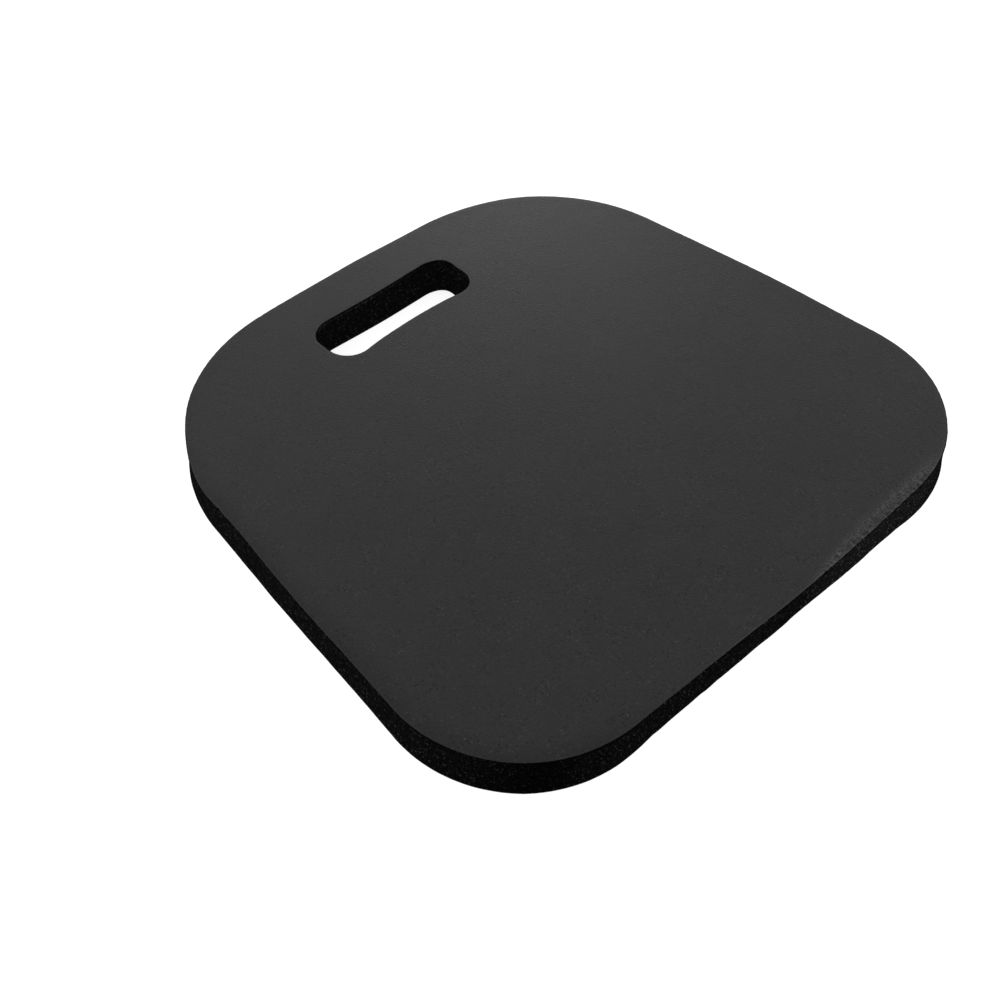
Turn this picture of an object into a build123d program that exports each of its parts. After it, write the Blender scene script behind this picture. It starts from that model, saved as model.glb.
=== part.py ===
"""Foam kneeling pad: a dense top skin, a foam core and a dense bottom skin, cut to one outline.

Frame: +Z is up and out of the kneeling face. +Y points to the handle end, +X to the right.
The origin is the middle of the pad's outline, on the underside. Millimetres and degrees.
"""

import os

from build123d import *

# Overall size. The sides lean in a little towards the handle end, and the widths are those of the
# sharp corners, so the rounded pad is 320 wide.
KNEE_END_WIDTH = 323.5
HANDLE_END_WIDTH = 308.0
LENGTH = 330.0
THICKNESS = 20.0

# Corner rounding, larger at the handle end. The pad is cut freely, so left and right differ.
HANDLE_END_RIGHT_RADIUS = 100.0
HANDLE_END_LEFT_RADIUS = 108.0
KNEE_END_LEFT_RADIUS = 68.0
KNEE_END_RIGHT_RADIUS = 81.0

# Hand slot. It sits a little left of the middle and is turned a little.
SLOT_LENGTH = 98.0
SLOT_WIDTH = 35.5
SLOT_RADIUS = 15.5
SLOT_TO_EDGE = 32.5
SLOT_X = -1.8
SLOT_TURN = 1.5

# Layers
SKIN = 0.8
RIM_ROUND = 0.5

# Worked out from the sizes above
CORE = THICKNESS - 2 * SKIN
SLOT_Y = LENGTH / 2 - SLOT_TO_EDGE - SLOT_WIDTH / 2
CORNERS = (
    (HANDLE_END_WIDTH / 2, LENGTH / 2, HANDLE_END_RIGHT_RADIUS),
    (-HANDLE_END_WIDTH / 2, LENGTH / 2, HANDLE_END_LEFT_RADIUS),
    (-KNEE_END_WIDTH / 2, -LENGTH / 2, KNEE_END_LEFT_RADIUS),
    (KNEE_END_WIDTH / 2, -LENGTH / 2, KNEE_END_RIGHT_RADIUS),
)


def cut_outline(height):
    """The pad's outline with its hand slot, as a sketch on the plane at this height."""
    with BuildSketch(Plane.XY.offset(height)) as outline:
        with BuildLine():
            Polyline(*[(x, y) for x, y, _ in CORNERS], close=True)
        make_face()
        for x, y, radius in CORNERS:
            fillet(outline.vertices().sort_by_distance((x, y, height))[0], radius)
        with Locations((SLOT_X, SLOT_Y)):
            RectangleRounded(SLOT_LENGTH, SLOT_WIDTH, SLOT_RADIUS, rotation=SLOT_TURN, mode=Mode.SUBTRACT)
    return outline.sketch


def bottom_skin():
    """The dense skin that lies on the ground."""
    with BuildPart() as skin:
        add(cut_outline(0))
        extrude(amount=SKIN)
        fillet(skin.faces().sort_by(Axis.Z)[0].edges(), RIM_ROUND)
    skin.part.label = "bottom_skin"
    return skin.part


def foam_core():
    """The soft cellular foam between the two skins."""
    with BuildPart() as core:
        add(cut_outline(SKIN))
        extrude(amount=CORE)
    core.part.label = "foam_core"
    return core.part


def top_skin():
    """The dense skin that is knelt on."""
    with BuildPart() as skin:
        add(cut_outline(SKIN + CORE))
        extrude(amount=SKIN)
        fillet(skin.faces().sort_by(Axis.Z)[-1].edges(), RIM_ROUND)
    skin.part.label = "top_skin"
    return skin.part


os.makedirs("parts", exist_ok=True)
for piece in (bottom_skin(), foam_core(), top_skin()):
    export_step(piece, f"parts/{piece.label}.step")
    print(piece.label, round(piece.volume))
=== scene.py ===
"""Looks for the foam kneeling pad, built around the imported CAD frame.

The frame's axes: +Y towards the hand slot, +X to the right, +Z up out of the kneeling face.
Shapes are worked out in millimetres and turned into metres when a mesh is made.
"""

import math

import bpy
import numpy as np
from mathutils import Matrix, Vector, kdtree, noise
from mathutils.geometry import delaunay_2d_cdt


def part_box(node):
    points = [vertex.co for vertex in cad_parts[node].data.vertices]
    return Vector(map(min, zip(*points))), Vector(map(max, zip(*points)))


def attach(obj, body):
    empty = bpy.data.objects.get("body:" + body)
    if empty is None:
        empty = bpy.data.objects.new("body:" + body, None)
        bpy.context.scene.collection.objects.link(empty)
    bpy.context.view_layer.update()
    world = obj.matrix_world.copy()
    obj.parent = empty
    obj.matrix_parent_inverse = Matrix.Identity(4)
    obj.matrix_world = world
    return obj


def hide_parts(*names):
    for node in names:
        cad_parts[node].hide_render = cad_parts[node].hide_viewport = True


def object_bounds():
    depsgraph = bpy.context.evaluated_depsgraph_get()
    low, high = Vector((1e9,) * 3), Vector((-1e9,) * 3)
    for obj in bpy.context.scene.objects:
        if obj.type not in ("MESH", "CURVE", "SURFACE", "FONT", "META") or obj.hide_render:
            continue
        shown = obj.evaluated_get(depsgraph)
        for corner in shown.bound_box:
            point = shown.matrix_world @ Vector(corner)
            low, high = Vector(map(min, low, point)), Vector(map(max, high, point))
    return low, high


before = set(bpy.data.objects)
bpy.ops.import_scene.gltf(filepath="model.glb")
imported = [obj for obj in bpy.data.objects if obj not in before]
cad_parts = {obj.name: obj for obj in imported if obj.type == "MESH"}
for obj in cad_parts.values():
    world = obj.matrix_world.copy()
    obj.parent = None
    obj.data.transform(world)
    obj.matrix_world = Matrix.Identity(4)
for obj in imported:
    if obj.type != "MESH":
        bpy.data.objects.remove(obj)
CAD_LOW, CAD_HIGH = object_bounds()
MM = 0.001

# Heights and length, from the frame
TOP = CAD_HIGH.z / MM
CORE_LOW, CORE_HIGH = (corner.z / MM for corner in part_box("foam_core"))
LENGTH = (CAD_HIGH.y - CAD_LOW.y) / MM
SKIN = TOP - CORE_HIGH

# Outline and hand slot, as the CAD pieces have them: x, y and rounding of each sharp corner
KNEE_WIDTH, HANDLE_WIDTH = 323.5, 308.0
OUTLINE_CORNERS = (
    (HANDLE_WIDTH / 2, LENGTH / 2, 100.0),
    (-HANDLE_WIDTH / 2, LENGTH / 2, 108.0),
    (-KNEE_WIDTH / 2, -LENGTH / 2, 68.0),
    (KNEE_WIDTH / 2, -LENGTH / 2, 81.0),
)
SLOT_SIZE, SLOT_RADIUS = (98.0, 35.5), 15.5
SLOT_CENTRE, SLOT_TURN = (-1.8, LENGTH / 2 - 32.5 - SLOT_SIZE[1] / 2), math.radians(1.5)

# The pad is cut freely, a little wide all round, and its top rim wanders on top of that: plan angle,
# half width in degrees and how far out
CUT_WIDE = 0.35
WANDER = ((145, 10, -1.9), (109, 7, -1.0), (87, 8, 0.9), (51, 8, 0.9), (26, 11, -1.2), (-6, 13, 1.1),
          (-28, 7, -0.5), (-63, 8, -1.5), (-90, 10, 0.9), (-119, 6, -0.3), (-170, 9, 0.4),
          (167, 8, -1.0), (-97, 32, 0.7), (112, 26, -0.35), (-48, 6, -0.3), (-141, 7, -0.4))

# The cut leans too: the underside's edge is this far outside the drawn outline, by plan angle
LEAN = ((-180, 2.9), (-155, 2.5), (-133, 2.9), (-126, 1.9), (-117, -0.1), (-88, -0.4), (-76, -0.1),
        (-66, -0.9), (-54, 1.3), (-42, 2.2), (-30, 1.2), (0, 0.6), (90, 1.0), (150, 1.6), (166, 2.2),
        (180, 2.9))

# The lower cut is ragged: depth and size of its waves and of its fine fraying, between which plan
# angles it is fully so, over how many degrees that fades, and what is left of it elsewhere
RAGGED, RAGGED_SIZE = 0.35, 16.0
FRAY, FRAY_SIZE = 0.04, 3.0
RAGGED_FROM, RAGGED_TO = -125, -60
RAGGED_RISE, RAGGED_FALL = 10, 15
RAGGED_LEAST = 0.3

# The slot's rim wanders as well: x, y, reach and how far it stands into the slot. Its lower edge
# stands into it further, by an amount that changes evenly between two x.
SLOT_WANDER = ((1.2, 97.0, 17.0, 0.6), (-39.0, 96.0, 11.0, -1.7), (37.0, 97.5, 11.0, -1.9),
               (-2.0, 132.0, 33.0, 1.3), (49.0, 114.0, 11.0, 1.7), (-51.0, 112.0, 9.0, 0.8),
               (46.0, 130.0, 8.0, -1.2))
SLOT_LEAN = ((-50.0, 0.5), (48.0, 2.1))

# The cut walls: how far they are dished, depth and size of their open cells and torn waves, which
# part of the noise each wall takes, and how much paler the slot's wall is painted, as painted light in its
# shaded recess
WALL_DISH, SLOT_DISH = 0.3, 0.2
PIT, PIT_SIZE = 0.22, 1.5
TEAR, TEAR_SIZE = 0.12, 6.0
WALL_SEED, SLOT_SEED = 0.0, 4.0
SLOT_PAINTED_LIGHT = 2.5

# The kneeling face: how far it puffs up past the CAD, depth and size of its swell and ripples, and
# how far from the rim these begin
PUFF = 0.15
SWELL, SWELL_SIZE = 0.14, 95.0
SWELL_FADE = 8
RIPPLE, RIPPLE_SIZE = 0.03, 14.0

# How far the face rolls down at its rim and over what width, what the left side adds to both, and
# the slot's rim. The left side begins at a plan angle on either side and fades in over some degrees.
SHOULDER, SHOULDER_WIDTH = 0.06, 5
LEFT_SHOULDER, LEFT_SHOULDER_WIDTH = 0.5, 8
LEFT_FROM, LEFT_RISE = 110, 40
SLOT_SHOULDER, SLOT_SHOULDER_WIDTH = 0.08, 1.2

# The crushed stretch of rim at the right knee corner, by plan angle, how it fades at its ends, how
# wide it gets, how much of that it starts with, how deep it is, and its folds and puckers. All of
# what shows of it lies right of the middle and below one y.
CRUSH_FROM, CRUSH_TO = -90.0, -54.0
CRUSH_RISE, CRUSH_FALL = 12, 8
CRUSH_WIDTH, CRUSH_START = 9.0, 0.35
CRUSH_DEPTH = 0.45
CREASE, FOLD_SIZE = 0.3, 3.4
PUCKER, PUCKER_SIZE = 1.2, 2.2
CRUSH_SEEN = 0.02
CRUSH_BELOW = -90.0

# The stretch of rim with a painted highlight, by plan angle, and how much of it the rest and the slot's rim
# get
RIM_HIGHLIGHT_FROM, RIM_HIGHLIGHT_TO = -112.0, -48.0
RIM_HIGHLIGHT_RISE, RIM_HIGHLIGHT_FALL = 15, 10
RIM_HIGHLIGHT_LEAST, SLOT_RIM_HIGHLIGHT = 0.2, 0.6

# The band inside the left rim darkened with painted shade, where the face rolls off: how wide and how
# strong, and from which plan angle on either side it fades in
LEFT_SHADE_WIDTH, LEFT_SHADE = 13.0, 0.7
LEFT_SHADE_FROM, LEFT_SHADE_RISE = 105, 25

# Spacing of points along the rims and down the walls, over the face, over its crushed patch, over
# the hidden faces and over the underside
WALL_STEP = 0.6
FACE_STEP, CRUSH_STEP = 1.9, 0.75
HIDDEN_STEP, UNDER_STEP = 9.0, 5.0

# How far those points stay clear of the edges, and the insets of the rows that follow the rims
FACE_CLEAR, HIDDEN_CLEAR, UNDER_CLEAR = 4.3, 6.0, 5.0
RIM_ROWS = (2.1, 3.1)

# Points on each rounded corner before it is divided evenly
ARC_POINTS = 64

# The rims from the face to the wall. Top: inset, drop and how much painted highlight, or CUT where it
# has the foam's finish, and depth and size of its roughness. Underside: inset and height.
CUT = -1.0
TOP_RIM = ((1.4, 0.0, 0.0), (0.9, 0.01, 0.7), (0.52, 0.03, 1.0), (0.44, 0.05, CUT), (0.15, 0.11, CUT),
           (0.04, 0.24, CUT), (0.0, 0.42, CUT), (0.0, SKIN, CUT))
RIM_ROUGH, RIM_ROUGH_SIZE = 0.10, 2.6
UNDER_RIM = ((0.0, CORE_LOW), (0.0, 0.5), (0.1, 0.2), (0.4, 0.0))

# The underside is a little hollow: how much on average, how uneven and at what size
HOLLOW, HOLLOW_SWELL, HOLLOW_SIZE = 0.08, 0.06, 40.0

# Nicks in the top skin's rim: x, y, depth and half width
NICKS = ((17.0, -165.0, 0.8, 1.5), (-157.0, 51.0, 0.6, 1.4), (118.0, -156.0, 0.5, 1.2),
         (-60.0, 164.0, 0.4, 1.4), (-30.0, -165.0, 0.3, 1.0), (155.0, 40.0, 0.5, 1.5))


# ---------------------------------------------------------------- outlines

def smooth(value):
    """0 below 0, 1 above 1, and a soft step between."""
    value = np.clip(value, 0.0, 1.0)
    return value * value * (3 - 2 * value)


def rounded(corners, step):
    """Evenly spaced points, anticlockwise, round a polygon of (x, y, radius) corners."""
    line = []
    count = len(corners)
    for i, (x, y, radius) in enumerate(corners):
        here = np.array((x, y))
        back = np.array(corners[i - 1][:2]) - here
        ahead = np.array(corners[(i + 1) % count][:2]) - here
        back, ahead = back / np.linalg.norm(back), ahead / np.linalg.norm(ahead)
        half = math.acos(float(back @ ahead)) / 2
        middle = here + (back + ahead) / np.linalg.norm(back + ahead) * radius / math.sin(half)
        first = here + back * radius / math.tan(half) - middle
        turn = math.pi - 2 * half
        for angle in np.linspace(0, turn, ARC_POINTS):
            c, s = math.cos(angle), math.sin(angle)
            line.append(middle + (first[0] * c - first[1] * s, first[0] * s + first[1] * c))
    line = np.array(line + line[:1])
    along = np.concatenate([[0], np.cumsum(np.linalg.norm(np.diff(line, axis=0), axis=1))])
    places = np.linspace(0, along[-1], round(along[-1] / step), endpoint=False)
    return np.stack([np.interp(places, along, line[:, k]) for k in (0, 1)], axis=1)


def outward(loop):
    """The normals of a loop, away from what it holds if it runs anticlockwise."""
    tangent = np.roll(loop, -1, axis=0) - np.roll(loop, 1, axis=0)
    tangent /= np.linalg.norm(tangent, axis=1)[:, None]
    return np.stack([tangent[:, 1], -tangent[:, 0]], axis=1)


def slot_corners():
    """The hand slot's four sharp corners, turned and in place."""
    half_x, half_y = SLOT_SIZE[0] / 2, SLOT_SIZE[1] / 2
    c, s = math.cos(SLOT_TURN), math.sin(SLOT_TURN)
    return [(SLOT_CENTRE[0] + x * c - y * s, SLOT_CENTRE[1] + x * s + y * c, SLOT_RADIUS)
            for x, y in ((half_x, half_y), (-half_x, half_y), (-half_x, -half_y), (half_x, -half_y))]


def wander_of(angle):
    """How far the top rim stands out at these plan angles."""
    return CUT_WIDE + sum(size * np.exp(-(((angle - middle + 180) % 360 - 180) / half) ** 2)
                          for middle, half, size in WANDER)


DRAWN = rounded(OUTLINE_CORNERS, WALL_STEP)
EDGE_ANGLE = np.degrees(np.arctan2(DRAWN[:, 1], DRAWN[:, 0]))
EDGE = DRAWN + outward(DRAWN) * wander_of(EDGE_ANGLE)[:, None]
EDGE_OUT = outward(EDGE)
SLOT = rounded(slot_corners(), WALL_STEP)[::-1]
SLOT_STANDS = sum(size * np.exp(-((SLOT - (x, y)) ** 2).sum(axis=1) / reach ** 2)
                  for x, y, reach, size in SLOT_WANDER)
SLOT = SLOT + outward(SLOT) * SLOT_STANDS[:, None]
SLOT_OUT = outward(SLOT)


def nearest(points, loop, out):
    """How far inside the loop each point is, negative outside, and the index of its nearest edge point."""
    tree = kdtree.KDTree(len(loop))
    for i, (x, y) in enumerate(loop):
        tree.insert((x, y, 0), i)
    tree.balance()
    index = np.array([tree.find((x, y, 0))[1] for x, y in points])
    gap = points - loop[index]
    across = -(gap * out[index]).sum(axis=1)
    return np.where(across > 0, 1, -1) * np.linalg.norm(gap, axis=1), index


# ---------------------------------------------------------------- surface relief

# Middle value of cells(), so that what is built on it goes both ways
CELLS_MIDDLE = 0.45


def ripple(points, size, stretch=(1.0, 1.0, 1.0), offset=0.0, octaves=3):
    """Smooth noise from about -1 to 1, size millimetres across. The offset picks another part of it."""
    scale = np.array(stretch) / size
    return np.array([noise.fractal(Vector(p * scale) + Vector((offset, offset, offset)), 0.6, 2.1, octaves)
                     for p in points])


def cells(points, size, offset=0.0):
    """Distance to the nearest of a scatter of points size millimetres apart, 0 at a cell's middle."""
    return np.array([noise.voronoi(Vector(p / size) + Vector((offset, 0, 0)))[0][0] for p in points])


def lean_of(angle):
    """How far the underside's edge stands out at these plan angles."""
    stations, sizes = zip(*LEAN)
    return np.interp(angle, stations, sizes)


def crush_of(inset, angle):
    """0 to 1: how crushed the rim is at this distance in from the edge and plan angle."""
    middle = (CRUSH_FROM + CRUSH_TO) / 2
    along = smooth((angle - CRUSH_FROM) / CRUSH_RISE) * smooth((CRUSH_TO - angle) / CRUSH_FALL)
    widening = smooth((angle - CRUSH_FROM) / (middle - CRUSH_FROM))
    width = CRUSH_WIDTH * (CRUSH_START + (1 - CRUSH_START) * widening)
    return along * smooth(1 - inset / width)


def rim_highlight_of(angle):
    """0 to 1: how much painted highlight the rim gets at these plan angles."""
    along = smooth((angle - RIM_HIGHLIGHT_FROM) / RIM_HIGHLIGHT_RISE) * smooth((RIM_HIGHLIGHT_TO - angle) / RIM_HIGHLIGHT_FALL)
    return RIM_HIGHLIGHT_LEAST + (1 - RIM_HIGHLIGHT_LEAST) * along


def left_shade_of(inset, angle):
    """0 to 1: how much painted shade darkens the face at this distance in from the left and near left edges.
    """
    return smooth((np.abs(angle) - LEFT_SHADE_FROM) / LEFT_SHADE_RISE) * smooth(1 - inset / LEFT_SHADE_WIDTH)


def shoulder_of(inset, angle):
    """How far the top face rolls down towards its rim, more along the left side."""
    left = smooth((np.abs(angle) - LEFT_FROM) / LEFT_RISE)
    width = SHOULDER_WIDTH + LEFT_SHOULDER_WIDTH * left
    return (SHOULDER + LEFT_SHOULDER * left) * smooth(1 - inset / width) ** 2


def flat(points):
    """Plan points with a height of 0."""
    return np.column_stack([points, np.zeros(len(points))])


def kneeling_face(points):
    """At these plan points: the face's height, how crushed it is and how much painted shade darkens it."""
    inset, index = nearest(points, EDGE, EDGE_OUT)
    slot_inset, _ = nearest(points, SLOT, SLOT_OUT)
    angle = EDGE_ANGLE[index]
    level = flat(points)
    crush = crush_of(inset, angle)
    swell = SWELL * ripple(level, SWELL_SIZE, octaves=2) + RIPPLE * ripple(level, RIPPLE_SIZE, offset=7.3)
    folds = ripple(level, FOLD_SIZE, offset=3.1, octaves=4)
    folds = folds + PUCKER * (cells(level, PUCKER_SIZE, 5.0) - CELLS_MIDDLE)
    height = TOP + PUFF + swell * smooth(inset / SWELL_FADE)
    height = height - shoulder_of(inset, angle)
    height = height - SLOT_SHOULDER * np.exp(-np.maximum(slot_inset, 0) / SLOT_SHOULDER_WIDTH)
    height = height - CRUSH_DEPTH * crush ** 1.3 + CREASE * crush * (folds - 0.2)
    return height, crush, LEFT_SHADE * left_shade_of(inset, angle)


# ---------------------------------------------------------------- mesh building

class Shell:
    """One closed piece: its points, faces and painted masks, gathered before it becomes a mesh."""

    def __init__(self):
        self.points, self.faces, self.rim, self.crush = [], [], [], []

    def add(self, points, rim=0.0, crush=0.0):
        """Adds points and returns their indices."""
        first = len(self.points)
        self.points.extend(map(tuple, points))
        self.rim.extend(np.broadcast_to(rim, len(points)))
        self.crush.extend(np.broadcast_to(crush, len(points)))
        return list(range(first, len(self.points)))

    def strip(self, rings):
        """Quads between closed rings of equal length, from the top ring down."""
        for upper, lower in zip(rings, rings[1:]):
            for i in range(len(upper)):
                j = (i + 1) % len(upper)
                self.faces.append((upper[i], lower[i], lower[j], upper[j]))

    def cap(self, edge, slot, inner, up=True):
        """Triangles between an outer ring and the slot's ring, through the inner points."""
        index = list(edge) + list(slot) + list(inner)
        plan = [Vector(self.points[i][:2]) for i in index]
        first = len(edge)
        ends = [(i, (i + 1) % first) for i in range(first)]
        ends += [(first + i, first + (i + 1) % len(slot)) for i in range(len(slot))]
        points, _, faces, source, _, _ = delaunay_2d_cdt(plan, ends, [], 0, 1e-6)
        middles = np.array([sum((points[k] for k in face), Vector((0, 0))) / 3 for face in faces])
        ring = np.array([self.points[i][:2] for i in edge])
        hole = np.array([self.points[i][:2] for i in slot])
        kept = inside(middles, ring) & ~inside(middles, hole)
        for face, keep in zip(faces, kept):
            if keep:
                corners = [index[source[k][0]] for k in face]
                self.faces.append(tuple(corners if up else corners[::-1]))

    def piece(self, name, finishes, node):
        """The finished piece: it rides on the root body, and its CAD node is hidden.

        The first finish goes on its faces, and the second one, if any, where the rim is cut.
        """
        mesh = bpy.data.meshes.new(name)
        mesh.from_pydata([tuple(c * MM for c in p) for p in self.points], [], self.faces)
        for label, values in (("rim", self.rim), ("crush", self.crush)):
            painted = mesh.attributes.new(label, "FLOAT", "POINT")
            painted.data.foreach_set("value", np.array(values, np.float32))
        mesh.shade_smooth()
        made = bpy.data.objects.new(name, mesh)
        bpy.context.scene.collection.objects.link(made)
        for finish in finishes:
            mesh.materials.append(finish)
        if len(finishes) > 1:
            rim = np.array(self.rim)
            cut = [int(rim[list(face)].max() <= CUT) for face in self.faces]
            mesh.polygons.foreach_set("material_index", cut)
        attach(made, "root")
        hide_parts(node)


def inside(points, ring):
    """Which points lie inside a closed ring."""
    ahead = np.roll(ring, -1, axis=0)
    hits = np.zeros(len(points), bool)
    for (ax, ay), (bx, by) in zip(ring, ahead):
        if ay != by:
            crosses = (ay > points[:, 1]) != (by > points[:, 1])
            hits ^= crosses & (points[:, 0] < (bx - ax) * (points[:, 1] - ay) / (by - ay) + ax)
    return hits


def hexes(step, low, high):
    """A triangular grid of points between two corners."""
    rows = []
    for k, y in enumerate(np.arange(low[1], high[1], step * math.sqrt(3) / 2)):
        x = np.arange(low[0] + (k % 2) * step / 2, high[0], step)
        rows.append(np.column_stack([x, np.full(len(x), y)]))
    return np.concatenate(rows)


def face_points(step, clear, dense=None):
    """Plan points that fill the pad's face, clear of its edges, closer together in the crushed patch."""
    grid = hexes(step, EDGE.min(axis=0), EDGE.max(axis=0))
    edge_inset, index = nearest(grid, EDGE, EDGE_OUT)
    slot_inset, _ = nearest(grid, SLOT, SLOT_OUT)
    keep = (edge_inset > clear) & (slot_inset > clear)
    if dense:
        crushed = crush_of(edge_inset, EDGE_ANGLE[index]) > CRUSH_SEEN
        keep &= ~crushed
        right_knee_corner = (0.0, EDGE[:, 1].min()), (EDGE[:, 0].max(), CRUSH_BELOW)
        fine = hexes(dense, *right_knee_corner)
        inset, near = nearest(fine, EDGE, EDGE_OUT)
        fine = fine[(inset > clear) & (crush_of(inset, EDGE_ANGLE[near]) > CRUSH_SEEN)]
        return np.concatenate([grid[keep], fine])
    return grid[keep]


def nick_depth(points):
    """How far the top skin's rim is bitten in at each rim point."""
    bite = np.zeros(len(points))
    for x, y, depth, width in NICKS:
        reach = np.hypot(points[:, 0] - x, points[:, 1] - y) / width
        bite = np.maximum(bite, depth * np.clip(1.25 - reach, 0, 1))
    return bite


def top_skin(finishes):
    """The dense skin that is knelt on: fine top face, rounded rim and flat underside."""
    shell = Shell()
    rings = {}
    for label, loop, out, bite, rim_highlight in (
            ("edge", EDGE, EDGE_OUT, nick_depth(EDGE), rim_highlight_of(EDGE_ANGLE)),
            ("slot", SLOT, SLOT_OUT, np.zeros(len(SLOT)), SLOT_RIM_HIGHLIGHT)):
        rough = RIM_ROUGH * ripple(flat(loop), RIM_ROUGH_SIZE, offset=1.7)
        rings[label] = []
        for inset, drop, pale in TOP_RIM:
            at = loop - out * (inset + bite + rough)[:, None]
            height, crush, dark = kneeling_face(at)
            # The rim mask: painted highlight on the rounded rim, less the painted shade of the band inside
            # the left rim
            rim = pale if pale == CUT else pale * rim_highlight - dark
            rings[label].append(shell.add(np.column_stack([at, height - drop]), rim, crush))
        shell.strip(rings[label])
    rows = [loop - out * inset for loop, out in ((EDGE, EDGE_OUT), (SLOT, SLOT_OUT)) for inset in RIM_ROWS]
    face = np.concatenate([face_points(FACE_STEP, FACE_CLEAR, CRUSH_STEP)] + rows)
    for plan, down, level in ((face, 0, 0), (face_points(HIDDEN_STEP, HIDDEN_CLEAR), SKIN, -1)):
        height, crush, dark = kneeling_face(plan)
        # Inside the rims the mask holds only the painted shade of the band inside the left rim
        inner = shell.add(np.column_stack([plan, height - down]), -dark, crush)
        shell.cap(rings["edge"][level], rings["slot"][level], inner, level == 0)
    shell.piece("kneeling_skin", finishes, "top_skin")


def wall(shell, loop, out, lean, dish, seed, paling):
    """A cut foam wall with torn waves, open cells and a slight dish. Returns its rings, top one first."""
    upper = kneeling_face(loop)[0] - SKIN
    levels = round((CORE_HIGH - CORE_LOW) / WALL_STEP)
    rings = []
    for k in range(levels + 1):
        down = k / levels
        height = upper * (1 - down) + CORE_LOW * down
        centre = np.column_stack([loop + out * (lean * down)[:, None], height])
        pits = PIT * (cells(centre, PIT_SIZE, seed) - CELLS_MIDDLE)
        torn = TEAR * ripple(centre, TEAR_SIZE, (1.0, 1.0, 0.6), seed)
        hold = smooth(min(down, 1 - down) * levels / 2.5)
        relief = (pits + torn - TEAR) * hold - dish * 4 * down * (1 - down)
        at = centre + flat(out * relief[:, None])
        # The mask called crush carries the paling: along the crushed corner, and in the slot as painted
        # light
        rings.append(shell.add(at, 0.0, paling))
    shell.strip(rings)
    return rings


def slot_underside():
    """How far the slot's lower edge stands into it, more towards its right end."""
    stations, sizes = zip(*SLOT_LEAN)
    return np.interp(SLOT[:, 0], stations, sizes)


def underside_edge():
    """How far the underside's edge stands out from the top's: the lean, and a ragged lower cut."""
    edge = flat(EDGE)
    ragged = RAGGED * ripple(edge, RAGGED_SIZE, offset=5.2, octaves=2)
    ragged = ragged + FRAY * ripple(edge, FRAY_SIZE, offset=2.2)
    front = smooth((RAGGED_TO - EDGE_ANGLE) / RAGGED_FALL) * smooth((EDGE_ANGLE - RAGGED_FROM) / RAGGED_RISE)
    ragged = ragged * (RAGGED_LEAST + (1 - RAGGED_LEAST) * front)
    return lean_of(EDGE_ANGLE) - wander_of(EDGE_ANGLE) + ragged


def foam_core(finish):
    """The soft foam between the skins, with its cells cut open all round and in the slot."""
    shell = Shell()
    paling = crush_of(np.zeros(len(EDGE)), EDGE_ANGLE)
    outer = wall(shell, EDGE, EDGE_OUT, underside_edge(), WALL_DISH, WALL_SEED, paling)
    # The slot's wall is painted paler: painted light for its shaded recess
    hole = wall(shell, SLOT, SLOT_OUT, slot_underside(), SLOT_DISH, SLOT_SEED, SLOT_PAINTED_LIGHT)
    plan = face_points(HIDDEN_STEP, HIDDEN_CLEAR)
    upper = kneeling_face(plan)[0] - SKIN
    shell.cap(outer[0], hole[0], shell.add(np.column_stack([plan, upper])), True)
    lower = np.full(len(plan), CORE_LOW)
    shell.cap(outer[-1], hole[-1], shell.add(np.column_stack([plan, lower])), False)
    shell.piece("cut_foam_core", (finish,), "foam_core")


def bottom_skin(finish):
    """The dense skin that lies on the ground."""
    shell = Shell()
    rings = {}
    for label, loop, out, stands in (("edge", EDGE, EDGE_OUT, underside_edge()),
                                     ("slot", SLOT, SLOT_OUT, slot_underside())):
        rings[label] = []
        for inset, height in UNDER_RIM:
            at = loop + out * (stands - inset)[:, None]
            low = np.full(len(loop), height)
            rings[label].append(shell.add(np.column_stack([at, low]), smooth(1 - inset / 0.3)))
        shell.strip(rings[label])
    plan = face_points(UNDER_STEP, UNDER_CLEAR)
    hollow = HOLLOW + HOLLOW_SWELL * ripple(flat(plan), HOLLOW_SIZE, offset=9.0)
    top = shell.add(np.column_stack([plan, np.full(len(plan), CORE_LOW)]))
    shell.cap(rings["edge"][0], rings["slot"][0], top, True)
    low = shell.add(np.column_stack([plan, np.maximum(hollow, 0.0)]))
    shell.cap(rings["edge"][-1], rings["slot"][-1], low, False)
    shell.piece("ground_skin", (finish,), "bottom_skin")


# ---------------------------------------------------------------- materials

# The textures' scales, in features per metre
GRAIN_SCALE, PORE_SCALE, SPECK_SCALE = 1100.0, 1500.0, 720.0
MOTTLE_SCALE, PATCH_SCALE = 38.0, 90.0
FLECK_SCALE, TORN_SCALE = 1100.0, 700.0
FOAM_CELL_SCALE, FOAM_GRAIN_SCALE = 1250.0, 900.0

# How much specks, the painted sheen on the crushed patch and the rim mask's painted highlight and shade add
# to the skin's tint, and its least
SPECK_TINT, CRUSH_SHEEN_TINT, RIM_MASK_TINT, LEAST_TINT = 4.0, 2.4, 0.6, 0.1

# Depth of the bumps, in metres
SKIN_BUMP, FOAM_BUMP = 0.00016, 0.0008


def node(tree, kind, **values):
    """A new shader node with its inputs set by name."""
    made = tree.nodes.new(kind)
    for name, value in values.items():
        made.inputs[name.replace("_", " ")].default_value = value
    return made


def material(name, roughness, specular):
    """A principled material, its node tree and its shader."""
    made = bpy.data.materials.new(name)
    made.use_nodes = True
    shader = made.node_tree.nodes["Principled BSDF"]
    shader.inputs["Roughness"].default_value = roughness
    shader.inputs["Specular IOR Level"].default_value = specular
    return made, made.node_tree, shader


def stretched(tree, factors):
    """Object coordinates, stretched by a factor along each axis."""
    coords = tree.nodes.new("ShaderNodeTexCoord")
    mapping = node(tree, "ShaderNodeMapping", Scale=factors)
    tree.links.new(coords.outputs["Object"], mapping.inputs["Vector"])
    return mapping.outputs["Vector"]


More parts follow.
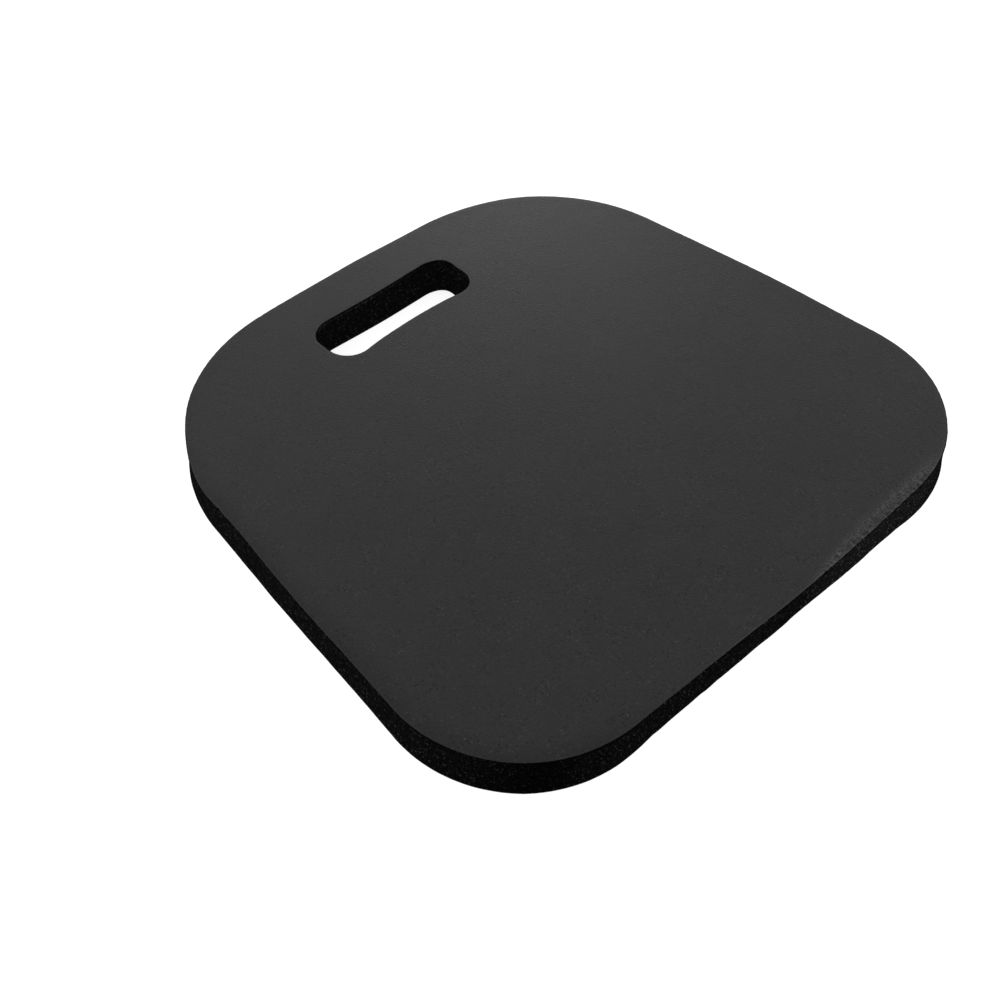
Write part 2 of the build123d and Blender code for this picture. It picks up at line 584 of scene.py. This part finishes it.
def clouds(tree, where, scale, detail=4.0, rough=0.6):
    """Noise over a vector, as a value."""
    made = node(tree, "ShaderNodeTexNoise", Scale=scale, Detail=detail, Roughness=rough)
    tree.links.new(where, made.inputs["Vector"])
    return made.outputs["Fac"]


def ramp(tree, value, *stops):
    """A grey ramp through (position, brightness) stops."""
    made = tree.nodes.new("ShaderNodeValToRGB")
    while len(made.color_ramp.elements) < len(stops):
        made.color_ramp.elements.new(0.5)
    for element, (position, grey) in zip(made.color_ramp.elements, stops):
        element.position = position
        element.color = (grey, grey, grey, 1)
    tree.links.new(value, made.inputs["Fac"])
    return made.outputs["Color"]


def calculate(tree, operation, first, second):
    """One arithmetic node over sockets or numbers."""
    made = tree.nodes.new("ShaderNodeMath")
    made.operation = operation
    for socket, value in zip(made.inputs, (first, second)):
        if isinstance(value, (int, float)):
            socket.default_value = value
        else:
            tree.links.new(value, socket)
    return made.outputs["Value"]


def mask(tree, name):
    """A painted mask of the mesh, as a value."""
    made = tree.nodes.new("ShaderNodeAttribute")
    made.attribute_name = name
    return made.outputs["Fac"]


def bumped(tree, shader, height, distance):
    """Bumps the shader by a height from 0 to 1 over a distance in metres."""
    made = node(tree, "ShaderNodeBump", Strength=1.0, Distance=distance)
    tree.links.new(height, made.inputs["Height"])
    tree.links.new(made.outputs["Normal"], shader.inputs["Normal"])


def voronoi(tree, where, scale):
    """Cells over a vector: a node with Distance and Color."""
    made = node(tree, "ShaderNodeTexVoronoi", Scale=scale)
    tree.links.new(where, made.inputs["Vector"])
    return made


def product(tree, first, second):
    """First times second."""
    return calculate(tree, "MULTIPLY", first, second)


def total(tree, first, second):
    """First plus second."""
    return calculate(tree, "ADD", first, second)


def skin_material(name, grey, rough):
    """Dense satin foam skin: fine pores and grain, pale and dark specks, a painted highlight on the rim,
    painted shade inside the left rim and a painted sheen on the crushed patch.
    """
    made, tree, shader = material(name, rough, 0.2)
    plain = stretched(tree, (1.0, 1.0, 1.0))
    streaky = stretched(tree, (0.85, 1.2, 1.0))
    grain = clouds(tree, streaky, GRAIN_SCALE, 4.0, 0.6)
    pores = voronoi(tree, streaky, PORE_SCALE)

    # The tint all over: grain, slow mottling and pores
    mottle = clouds(tree, plain, MOTTLE_SCALE, 3.0)
    tint = ramp(tree, grain, (0.3, 0.8), (0.72, 1.22))
    tint = product(tree, tint, ramp(tree, mottle, (0.3, 0.92), (0.7, 1.08)))
    tint = product(tree, tint, ramp(tree, pores.outputs["Color"], (0.05, 0.85), (0.95, 1.15)))

    # Pale and dark specks, more in some patches
    specks = voronoi(tree, plain, SPECK_SCALE)
    kind = calculate(tree, "SUBTRACT", specks.outputs["Color"], 0.5)
    chosen = product(tree, kind, ramp(tree, specks.outputs["Distance"], (0.2, 1.0), (0.42, 0.0)))
    patches = ramp(tree, clouds(tree, plain, PATCH_SCALE, 2.0), (0.44, 0.25), (0.6, 1.0))
    tint = total(tree, tint, product(tree, product(tree, chosen, patches), SPECK_TINT))

    # Where the rim is crushed, pale flecks of painted sheen and dark tears
    crushed = mask(tree, "crush")
    flecks = ramp(tree, clouds(tree, plain, FLECK_SCALE, 5.0, 0.75), (0.43, 0.0), (0.57, 1.0))
    crush_sheen = product(tree, ramp(tree, crushed, (0.0, 0.0), (0.45, 1.0), (0.75, 0.8), (1.0, 0.5)), flecks)
    tint = total(tree, tint, product(tree, crush_sheen, CRUSH_SHEEN_TINT))
    tears = ramp(tree, clouds(tree, streaky, TORN_SCALE, 4.0), (0.4, 0.9), (0.48, 0.0))
    torn = product(tree, tears, crushed)
    tint = product(tree, tint, calculate(tree, "SUBTRACT", 1.0, torn))

    # Painted highlight on the rim, painted shade on the band inside the left rim
    tint = total(tree, tint, product(tree, mask(tree, "rim"), RIM_MASK_TINT))
    tint = calculate(tree, "MAXIMUM", tint, LEAST_TINT)

    colour = tree.nodes.new("ShaderNodeCombineColor")
    value = product(tree, tint, grey)
    for channel in ("Red", "Green", "Blue"):
        tree.links.new(value, colour.inputs[channel])
    tree.links.new(colour.outputs["Color"], shader.inputs["Base Color"])
    tree.links.new(ramp(tree, grain, (0.25, rough - 0.08), (0.75, rough + 0.1)), shader.inputs["Roughness"])
    bumped(tree, shader, total(tree, grain, product(tree, pores.outputs["Distance"], 0.6)), SKIN_BUMP)
    return made


def foam_material():
    """Black cut foam: open cells, each wall catching the light its own way, paler along the crushed corner,
    and paler in the slot as painted light.
    """
    made, tree, shader = material("cut_foam", 0.85, 0.0)
    plain = stretched(tree, (1.0, 1.0, 1.0))
    cell = voronoi(tree, plain, FOAM_CELL_SCALE)
    tone = ramp(tree, cell.outputs["Color"], (0.5, 0.001), (0.8, 0.0022), (1.0, 0.012))
    # Paler by the crush mask: along the crushed corner, and in the slot as painted light for its shaded
    # recess
    tone = product(tree, tone, total(tree, 1.0, mask(tree, "crush")))
    tree.links.new(tone, shader.inputs["Base Color"])
    height = total(tree, cell.outputs["Distance"], cell.outputs["Color"])
    bumped(tree, shader, total(tree, height, clouds(tree, plain, FOAM_GRAIN_SCALE)), FOAM_BUMP)
    return made


# ---------------------------------------------------------------- studio

MIDDLE = (0, 0, 0)
WALLS = (0, 0, 0.01)

# Lamps: place, aim, power, size, and whether satin surfaces show them. One is behind, for the sheen
# of the face, and two are low at the sides, for the cut walls.
LAMPS = (
    ((0.62, 0.75, 0.20), MIDDLE, 0.68, 0.4, True),
    ((-1.7, 1.2, 0.07), WALLS, 160, 0.13, False),
    ((1.6, -1.36, 0.07), WALLS, 160, 0.13, False),
)
WORLD_LIGHT = 1.0

# The floor shines a little itself, so that it stays pale where the pad would shade it
FLOOR_SIZE = 12
FLOOR_GREY, FLOOR_GLOW = 0.35, 0.8

# The camera stands at the near left corner, above the pad. Angles are in degrees, the lens in mm.
CAMERA_PLACE = (-0.2630, -0.3171, 0.4000)
AZIMUTH, ELEVATION, ROLL = -32.23, 47.24, -8.74
LENS, SENSOR = 39.67, 36
SHIFT = 0.061
CLIP_START = 0.01


def softbox(place, aim, energy, size, glossy):
    """A soft square lamp that the camera doesn't see, with or without a reflection in satin surfaces."""
    lamp = bpy.data.lights.new("softbox", "AREA")
    lamp.energy = energy
    lamp.size = size
    holder = bpy.data.objects.new("softbox", lamp)
    holder.location = place
    holder.rotation_mode = "QUATERNION"
    holder.rotation_quaternion = (Vector(aim) - Vector(place)).to_track_quat("-Z", "Y")
    holder.visible_camera = False
    holder.visible_glossy = glossy
    bpy.context.scene.collection.objects.link(holder)


def studio():
    """A pale floor and plain soft light from all round, behind and both sides."""
    bpy.ops.mesh.primitive_plane_add(size=FLOOR_SIZE, location=(0, 0, 0))
    floor = bpy.context.object
    floor.name = "floor"
    white, _, shader = material("floor_white", 0.9, 0.2)
    shader.inputs["Base Color"].default_value = (FLOOR_GREY, FLOOR_GREY, FLOOR_GREY, 1)
    shader.inputs["Emission Color"].default_value = (1, 1, 1, 1)
    shader.inputs["Emission Strength"].default_value = FLOOR_GLOW
    floor.data.materials.append(white)
    world = bpy.data.worlds.new("studio")
    bpy.context.scene.world = world
    world.use_nodes = True
    background = world.node_tree.nodes["Background"]
    background.inputs["Color"].default_value = (1, 1, 1, 1)
    background.inputs["Strength"].default_value = WORLD_LIGHT
    for lamp in LAMPS:
        softbox(*lamp)


def camera():
    """The camera, turned to its azimuth, elevation and roll."""
    data = bpy.data.cameras.new("photo_camera")
    holder = bpy.data.objects.new("photo_camera", data)
    bpy.context.scene.collection.objects.link(holder)
    azimuth, elevation, roll = (math.radians(angle) for angle in (AZIMUTH, ELEVATION, ROLL))
    look = Vector((-math.sin(azimuth) * math.cos(elevation), math.cos(azimuth) * math.cos(elevation),
                   -math.sin(elevation)))
    upright = look.to_track_quat("-Z", "Y")
    holder.rotation_mode = "QUATERNION"
    holder.location = CAMERA_PLACE
    holder.rotation_quaternion = upright @ Matrix.Rotation(roll, 3, "Z").to_quaternion()
    data.sensor_width = SENSOR
    data.lens = LENS
    data.shift_x = SHIFT
    data.clip_start = CLIP_START
    bpy.context.scene.camera = holder


# ---------------------------------------------------------------- making

SKIN_FINISH = skin_material("top_skin_rubber", 0.011, 0.39)
UNDER_FINISH = skin_material("bottom_skin_rubber", 0.011, 0.6)
FOAM_FINISH = foam_material()
top_skin((SKIN_FINISH, FOAM_FINISH))
foam_core(FOAM_FINISH)
bottom_skin(UNDER_FINISH)
studio()
camera()
bpy.context.scene.view_settings.view_transform = "Standard"
